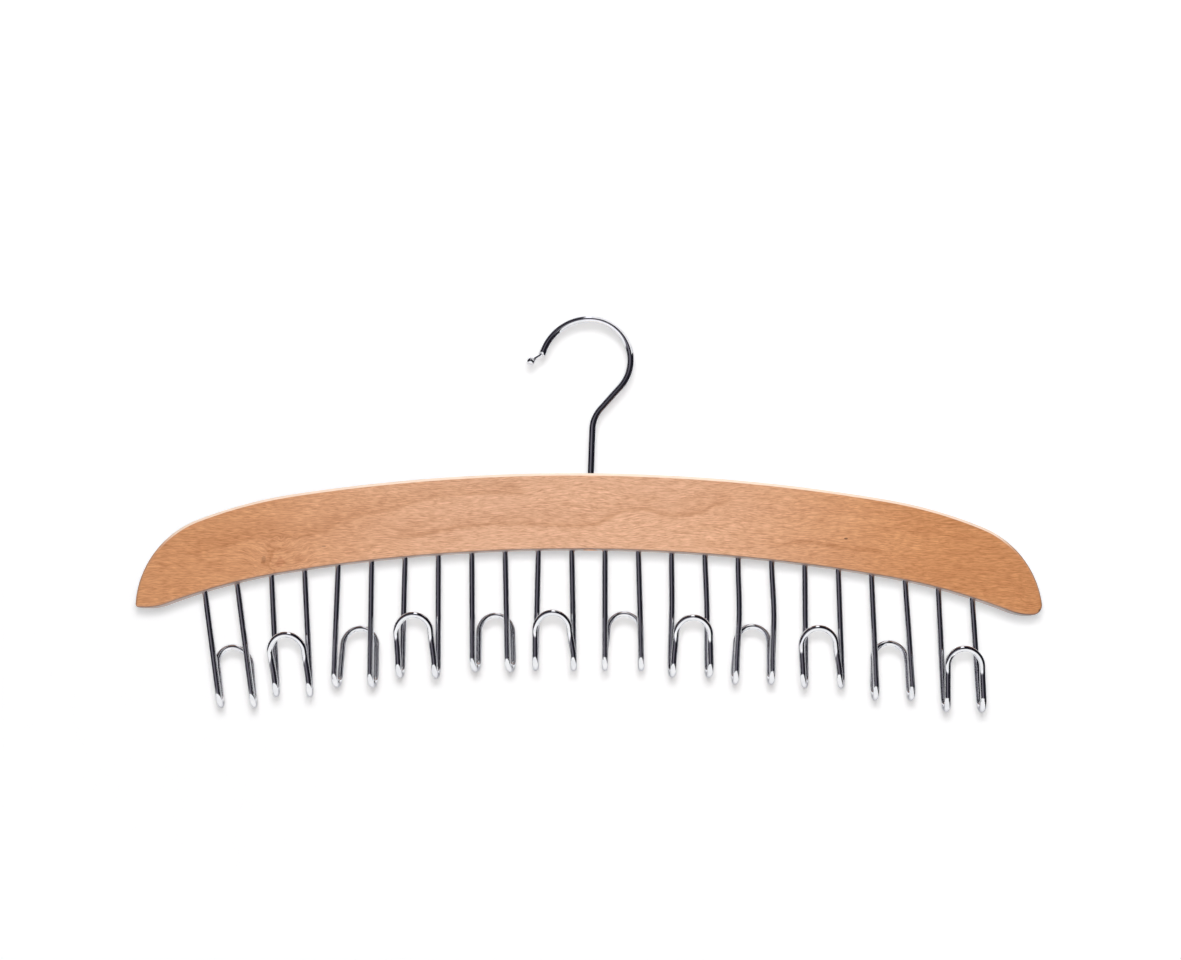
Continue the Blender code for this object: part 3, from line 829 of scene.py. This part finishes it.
def paint_edge_light(nodes, colour, place):
    """Painted highlights on the rounded edges, painted shade on the underside and on the right
    tip.
    """
    facing = nodes.parts(nodes.add("ShaderNodeTexCoord").outputs["Normal"])
    flat = nodes.maths("ABSOLUTE", facing["Y"])
    outward = nodes.maths("ABSOLUTE", place["X"])

    # Painted highlight along the upper round, where the light from above would catch it
    upper = nodes.step(flat, *UPPER_FLATNESS)
    for share in (nodes.step(facing["Z"], *UPPER_RISE), nodes.step(outward, *UPPER_ENDS),
                  nodes.step(flat, *UPPER_MIDDLE)):
        upper = nodes.maths("MULTIPLY", upper, share)
    # Painted highlight along the lower round, where light from below would catch it
    lower = nodes.maths("MULTIPLY", nodes.step(flat, *LOWER_FLATNESS),
                        nodes.step(facing["Z"], *LOWER_RISE))
    colour = nodes.blend(nodes.maths("MAXIMUM", upper, lower), colour, EDGE_HIGHLIGHT_PALE)

    # Painted shade on the underside, which faces away from the lamps
    under = nodes.maths("MULTIPLY", nodes.step(facing["Z"], *UNDERSIDE_RISE),
                        nodes.step(place["Y"], *UNDERSIDE_FRONT))
    colour = nodes.blend(under, colour, UNDERSIDE_SHADE_TINT, "MULTIPLY")
    # Painted shade on the right tip's rounds and end
    tip = nodes.maths("MULTIPLY", nodes.step(flat, *TIP_FLATNESS),
                      nodes.step(place["X"], *TIP_X))
    return nodes.blend(tip, colour, TIP_SHADE_TINT, "MULTIPLY")


def make_beech():
    """Lacquered beech: bands, growth lines, a knot, fine grain, dark marks, a painted sheen,
    painted highlights on the rounded edges and painted shade on the underside and right tip.
    """
    material, nodes, shader = new_material("lacquered_beech")
    link_to = material.node_tree.links.new
    spot = nodes.add("ShaderNodeTexCoord").outputs["Object"]
    place = nodes.parts(spot)

    # The knot near the left end, as a distance from its middle, and the grain pushed round it
    across = offset_share(nodes, place["X"], KNOT.x, KNOT_WIDTH)
    upward = offset_share(nodes, place["Z"], KNOT.z, KNOT_HEIGHT)
    ripple = nodes.maths("SUBTRACT", nodes.noise(spot, RIPPLE_SCALE), 0.5)
    knot = nodes.maths("SQRT", nodes.maths("MULTIPLY_ADD", across, across,
                                           nodes.maths("MULTIPLY", upward, upward)))
    knot = nodes.maths("MULTIPLY_ADD", ripple, KNOT_RAGGED, knot)
    push = nodes.add("ShaderNodeCombineXYZ", {"Z": nodes.step(knot, *KNOT_PUSH)})
    flow = nodes.vectors("ADD", wandering(nodes, spot), push.outputs[0])

    # Broad bands and reddish streaks
    bands = nodes.noise(nodes.stretch(flow, BAND_SCALE, turn=(0, BAND_TILT, 0)), 1.0, 3.0, 0.55)
    streaks = nodes.noise(nodes.stretch(flow, STREAK_SCALE), 1.0, 3.0, 0.6)
    colour = nodes.blend(nodes.step(bands, *BAND_STEP), BAND_BROWN, BAND_PALE)
    colour = nodes.blend(nodes.step(streaks, *STREAK_STEP), colour, STREAK_BROWN)

    # Painted sheen: paler and pinker in the middle of the length, dimmer to the right
    outward = nodes.maths("ABSOLUTE", nodes.maths("SUBTRACT", place["X"], MIDDLE_X))
    colour = nodes.blend(nodes.step(outward, *SHEEN_STEP), colour, SHEEN_PINK)
    colour = nodes.blend(nodes.step(place["X"], *RIGHT_DIM_STEP), colour, RIGHT_DIM_TINT, "MULTIPLY")

    length = nodes.step(place["X"], GROWTH_X[0] * MM, GROWTH_X[1] * MM, straight=True)
    height = nodes.maths("MULTIPLY_ADD", ripple, GROWTH_RIPPLE, place["Z"])
    for line in GROWTH_LINES:
        shade = growth_shade(nodes, place, length, height, line)
        colour = nodes.blend(shade, colour, GROWTH_TINT, "MULTIPLY")

    # The knot's dark ring, body and heart
    ring = nodes.maths("MULTIPLY", nodes.step(knot, *KNOT_RING_INSIDE),
                       nodes.step(knot, *KNOT_RING_OUTSIDE))
    ring = nodes.maths("MULTIPLY", ring, nodes.step(across, *KNOT_RING_RIGHT))
    colour = nodes.blend(ring, colour, GROWTH_TINT, "MULTIPLY")
    colour = nodes.blend(nodes.step(knot, *KNOT_BODY_STEP), colour, KNOT_BROWN)
    colour = nodes.blend(nodes.step(knot, *KNOT_HEART_STEP), colour, KNOT_HEART)

    # Fine grain lines, short medullary flecks and open pores
    lines = nodes.noise(nodes.stretch(flow, LINE_SCALE), 1.0, 2.0, 0.6)
    flecks = nodes.noise(nodes.stretch(flow, FLECK_SCALE, offset=(3, 1, 7)), 1.0, 1.5)
    pores = nodes.noise(nodes.stretch(flow, PORE_SCALE, offset=(5, 2, 3)), 1.0, 1.0)
    for pattern, span, tint in ((lines, LINE_STEP, LINE_TINT), (flecks, FLECK_STEP, FLECK_TINT),
                                (pores, PORE_STEP, PORE_TINT)):
        share = nodes.step(pattern, *span, straight=True)
        colour = nodes.blend(share, colour, tint, "MULTIPLY")

    for mark in MARKS:
        colour = nodes.blend(mark_share(nodes, place, mark), colour, MARK_BROWN)
    link_to(paint_edge_light(nodes, colour, place), shader.inputs["Base Color"])

    link_to(nodes.step(flecks, *FLECK_ROUGHNESS), shader.inputs["Roughness"])
    relief = nodes.maths("ADD", nodes.maths("MULTIPLY", flecks, FLECK_RELIEF),
                         nodes.maths("MULTIPLY", pores, PORE_RELIEF))
    bump = nodes.add("ShaderNodeBump", {"Height": relief, "Strength": 0.25,
                                        "Distance": 0.06 * MM})
    link_to(bump.outputs["Normal"], shader.inputs["Normal"])
    shader.inputs["Specular IOR Level"].default_value = 0.5
    shader.inputs["Coat Weight"].default_value = 0.35
    shader.inputs["Coat Roughness"].default_value = 0.30
    return material


CHROME_DULL = (0.80, 0.81, 0.84)
CHROME_BRIGHT = (0.88, 0.88, 0.90)
# Grey edge tint: painted shade on the wires' grazing edges, as if a shadowed wall close behind
# were mirrored
CHROME_EDGE_SHADE = (0.35, 0.35, 0.38, 1.0)
DRAWING_SCALE = (60, 26, 1)       # per metre of wire, and once round it
CLOUD_SCALE = 140.0
CLOUD_STEP = (0.3, 0.7)
CLOUD_ROUGHNESS = (0.3, 0.75, 0.035, 0.07)
DRAWING_ROUGHNESS = (0.45, 0.8, 0.0, 0.04)


def make_chrome():
    """Bright chrome plating over drawn wire."""
    material, nodes, shader = new_material("bright_chrome")
    link_to = material.node_tree.links.new
    spot = nodes.add("ShaderNodeTexCoord").outputs["Object"]
    wire = nodes.add("ShaderNodeUVMap", uv_map="wire").outputs["UV"]
    cloud = nodes.noise(spot, CLOUD_SCALE, 3.0, 0.6)
    drawn = nodes.noise(nodes.stretch(wire, DRAWING_SCALE), 1.0, 2.0, 0.6)
    link_to(nodes.blend(nodes.step(cloud, *CLOUD_STEP), CHROME_DULL, CHROME_BRIGHT),
            shader.inputs["Base Color"])
    rough = nodes.maths("ADD", nodes.step(cloud, *CLOUD_ROUGHNESS),
                        nodes.step(drawn, *DRAWING_ROUGHNESS))
    link_to(rough, shader.inputs["Roughness"])
    bump = nodes.add("ShaderNodeBump", {"Height": drawn, "Strength": 0.12,
                                        "Distance": 0.02 * MM})
    link_to(bump.outputs["Normal"], shader.inputs["Normal"])
    shader.inputs["Metallic"].default_value = 1.0
    # Darker grazing edges: painted shade
    shader.inputs["Specular Tint"].default_value = CHROME_EDGE_SHADE
    return material


# The stage: a wall behind the hanger and a floor far below, both in metres
WALL_Y = 0.245
WALL_HALF_WIDTH = 0.5
WALL_BOTTOM, WALL_TOP = -0.75, 0.6
FLOOR_Z = -1.15
FLOOR_REACH = 1.2
GLOW_MIDDLE = (0.0, WALL_Y, -0.10)
WALL_WHITE, WALL_GLOW, WALL_GAIN = (0.90, 0.90, 0.91), 0.22, 0.75
FLOOR_WHITE, FLOOR_GLOW = (0.88, 0.88, 0.88), 0.80

# White cards that only metal and lacquer mirror: below the hanger, and round the hook's loop
LOW_CARD = ((-0.8, -0.33), (0.32, -0.33))
LOW_CARD_SPAN = (-0.55, 0.24)
LOOP_CARD_RADIUS = 0.060
LOOP_CARD_ANGLES = range(88, 15, -8)
LOOP_CARD_SPAN = (-0.038, 0.010)

# The room that metal and lacquer mirror: steps along the direction's X, Y and Z, from -1 to 1
ROOM_DARK = (0.0120, 0.0108, 0.0168)
ROOM_GREY = (0.170, 0.160, 0.190)
GREY_LEFT_END, GREY_RIGHT_END = (-0.75, -0.60), (0.15, 0.0)
GREY_TOP_END = (0.40, 0.15, 0.15, 1.0)
BEHIND_Y = (0.42, 0.52)
ABOVE_Y, ABOVE_Z = (0.15, 0.25), (0.40, 0.50)
BELOW_X, BELOW_Z = (0.45, 0.25), (-0.10, -0.22)
STRIP_X = 0.03
STRIP_SIDES, STRIP_Z = (0.13, 0.06), (0.60, 0.75, 0.0, 1.5)
AMBIENT = (-1.0, 1.0, 0.06, 0.30)

AIM = Vector((1.136, 0, -79.185)) * MM
CAMERA_PLACE = Vector((1.136, -930, -192.185)) * MM
CAMERA_LENS = 57.68
CAMERA_SENSOR = 36.0
CAMERA_NEAR = 0.01
CAMERA_ROLL = 0.5                 # degrees

FRONT_LIGHT_PLACE = CAMERA_PLACE + Vector((0, 0, 0.016))
FRONT_LIGHT_SIZE = (0.020, 0.024)
FRONT_LIGHT_POWER = 7.1
TOP_LIGHT_PLACE = Vector((0.2, -0.15, 0.9))
TOP_LIGHT_SIZE = (0.8, 0.8)
TOP_LIGHT_POWER = 5.4


def stage_material(name, colour, glow, gain, see_through_back=False):
    """Pale matt surface that the camera and metal see brought up to white.

    The glow grows with the squared distance from the hanger, where the lamps reach less.
    """
    material, nodes, surface_socket = new_surface(name)
    spot = nodes.add("ShaderNodeTexCoord").outputs["Object"]
    away = nodes.vectors("SUBTRACT", spot, GLOW_MIDDLE)
    square = nodes.vectors("DOT_PRODUCT", away, away)
    strength = nodes.maths("MINIMUM", nodes.maths("MULTIPLY_ADD", square, gain, glow), 1.0)
    matt = nodes.add("ShaderNodeBsdfDiffuse", {"Color": (*colour, 1.0)}).outputs[0]
    path = nodes.add("ShaderNodeLightPath").outputs
    seen = nodes.maths("MAXIMUM", path["Is Camera Ray"], path["Is Glossy Ray"])
    seen = nodes.maths("MAXIMUM", seen, path["Is Transmission Ray"])
    light = nodes.add("ShaderNodeEmission", {"Color": (1, 1, 1, 1),
                                             "Strength": nodes.maths("MULTIPLY", seen, strength)})
    surface = nodes.add("ShaderNodeAddShader", {0: matt, 1: light.outputs[0]}).outputs[0]
    if see_through_back:
        behind = nodes.add("ShaderNodeNewGeometry").outputs["Backfacing"]
        clear = nodes.maths("MAXIMUM", behind, path["Is Shadow Ray"])
        surface = nodes.add("ShaderNodeMixShader", {
            0: clear, 1: surface,
            2: nodes.add("ShaderNodeBsdfTransparent").outputs[0]}).outputs[0]
    material.node_tree.links.new(surface, surface_socket)
    return material


def stage_plane(name, corners, material):
    mesh = bpy.data.meshes.new(name)
    mesh.from_pydata(corners, [], [(0, 1, 2, 3)])
    mesh.materials.append(material)
    plane = link(bpy.data.objects.new(name, mesh))


def stage_sheet(name, profile, front, back, material):
    """Sheet with the given profile in X and Z, running from front to back along Y."""
    mesh = bpy.data.meshes.new(name)
    points = [(x, y, z) for x, z in profile for y in (front, back)]
    faces = [(2 * i, 2 * i + 1, 2 * i + 3, 2 * i + 2) for i in range(len(profile) - 1)]
    mesh.from_pydata(points, [], faces)
    mesh.materials.append(material)
    sheet = link(bpy.data.objects.new(name, mesh))
    return sheet


def make_stage():
    stage_plane("backdrop", [(-WALL_HALF_WIDTH, WALL_Y, WALL_BOTTOM),
                             (WALL_HALF_WIDTH, WALL_Y, WALL_BOTTOM),
                             (WALL_HALF_WIDTH, WALL_Y, WALL_TOP),
                             (-WALL_HALF_WIDTH, WALL_Y, WALL_TOP)],
                stage_material("backdrop_white", WALL_WHITE, WALL_GLOW, WALL_GAIN,
                               see_through_back=True))
    stage_plane("floor", [(-FLOOR_REACH, -FLOOR_REACH, FLOOR_Z),
                          (FLOOR_REACH, -FLOOR_REACH, FLOOR_Z),
                          (FLOOR_REACH, FLOOR_REACH, FLOOR_Z),
                          (-FLOOR_REACH, FLOOR_REACH, FLOOR_Z)],
                stage_material("floor_white", FLOOR_WHITE, FLOOR_GLOW, 0.0))


def mirror_card(name, profile, front, back):
    """A white card that only metal and lacquer see."""
    material, nodes, surface_socket = new_surface(name)
    glow = nodes.add("ShaderNodeEmission", {"Strength": 1.0}).outputs[0]
    material.node_tree.links.new(glow, surface_socket)
    card = stage_sheet(name, profile, front, back, material)
    card.visible_camera = False
    card.visible_diffuse = False
    card.visible_shadow = False
    card.visible_transmission = False


def area_lamp(name, place, size, power):
    """A lamp turned to the hanger, which metal and lacquer don't mirror."""
    data = bpy.data.lights.new(name, "AREA")
    data.shape = "RECTANGLE"
    data.size, data.size_y = size
    data.energy = power
    lamp = link(bpy.data.objects.new(name, data))
    lamp.location = place
    lamp.rotation_euler = (AIM - place).to_track_quat("-Z", "Y").to_euler()
    lamp.visible_camera = False
    lamp.visible_glossy = False


def make_world():
    """White for the camera, a dark room with pale parts for mirrors, soft light for the rest."""
    world = bpy.data.worlds.new("studio")
    bpy.context.scene.world = world
    world.use_nodes = True
    nodes = Nodes(world.node_tree)
    background = world.node_tree.nodes["Background"]
    axes = nodes.parts(nodes.add("ShaderNodeTexCoord").outputs["Generated"])

    # A grey part from the left to the middle, dimmer above
    grey = nodes.maths("MULTIPLY", nodes.step(axes["X"], *GREY_LEFT_END),
                       nodes.step(axes["X"], *GREY_RIGHT_END))
    grey = nodes.maths("MULTIPLY", grey, nodes.step(axes["Z"], *GREY_TOP_END))
    mirrored_sky = nodes.blend(grey, ROOM_DARK, ROOM_GREY)

    # White behind the hanger, above its back, below it, and in a strip overhead
    white = nodes.step(axes["Y"], *BEHIND_Y)
    above = nodes.maths("MULTIPLY", nodes.step(axes["Y"], *ABOVE_Y),
                        nodes.step(axes["Z"], *ABOVE_Z))
    below = nodes.maths("MULTIPLY", nodes.step(axes["Z"], *BELOW_Z),
                        nodes.step(axes["X"], *BELOW_X))
    beside = nodes.maths("ABSOLUTE", nodes.maths("SUBTRACT", axes["X"], STRIP_X))
    strip = nodes.maths("MULTIPLY", nodes.step(beside, *STRIP_SIDES),
                        nodes.step(axes["Z"], *STRIP_Z))
    for patch in (above, below, strip):
        white = nodes.maths("MAXIMUM", white, patch)
    mirrored_sky = nodes.blend(1.0, mirrored_sky, white, "ADD")

    path = nodes.add("ShaderNodeLightPath").outputs
    mirrored = nodes.maths("MAXIMUM", path["Is Glossy Ray"], path["Is Transmission Ray"])
    ambient = nodes.step(axes["Z"], *AMBIENT)
    colour = nodes.blend(mirrored, ambient, mirrored_sky)
    colour = nodes.blend(path["Is Camera Ray"], colour, (1.0, 1.0, 1.0))
    world.node_tree.links.new(colour, background.inputs["Color"])
    background.inputs["Strength"].default_value = 1.0


def make_camera():
    data = bpy.data.cameras.new("camera")
    data.lens = CAMERA_LENS
    data.sensor_fit = "HORIZONTAL"
    data.sensor_width = CAMERA_SENSOR
    data.clip_start = CAMERA_NEAR
    camera = link(bpy.data.objects.new("camera", data))
    ahead = (AIM - CAMERA_PLACE).normalized()
    right = Vector((1, 0, 0))
    up = right.cross(ahead)
    roll = math.radians(CAMERA_ROLL)
    tilted_right = right * math.cos(roll) + up * math.sin(roll)
    tilted_up = up * math.cos(roll) - right * math.sin(roll)
    turn = Matrix((tilted_right, tilted_up, -ahead)).transposed()
    camera.matrix_world = Matrix.Translation(CAMERA_PLACE) @ turn.to_4x4()
    bpy.context.scene.camera = camera


def main():
    beech = make_beech()
    chrome = make_chrome()

    bar = make_bar(beech)
    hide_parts("wooden_bar")
    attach(bar, "bar")

    hook = sweep("hook_wire", swivel_hook_path(), HOOK_SIDES, chrome)
    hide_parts("hanger_hook")
    washer = make_washer(chrome)
    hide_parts("hook_washer")
    for piece in (hook, washer):
        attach(piece, "swivel_hook")
    for index in range(len(HOOK_FORMS)):
        wire = make_belt_hook(index, chrome)
        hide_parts(f"belt_hook_{index + 1:02d}")
        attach(wire, "bar")

    make_camera()
    make_stage()
    mirror_card("low_card", LOW_CARD, *LOW_CARD_SPAN)
    loop_middle = (0.0, -HOOK_LOOP_RADIUS)
    loop_card = [polar(loop_middle, LOOP_CARD_RADIUS, angle) for angle in LOOP_CARD_ANGLES]
    mirror_card("loop_card", loop_card, *LOOP_CARD_SPAN)
    make_world()
    area_lamp("front_light", FRONT_LIGHT_PLACE, FRONT_LIGHT_SIZE, FRONT_LIGHT_POWER)
    area_lamp("top_light", TOP_LIGHT_PLACE, TOP_LIGHT_SIZE, TOP_LIGHT_POWER)
    bpy.context.scene.view_settings.view_transform = "Standard"


main()
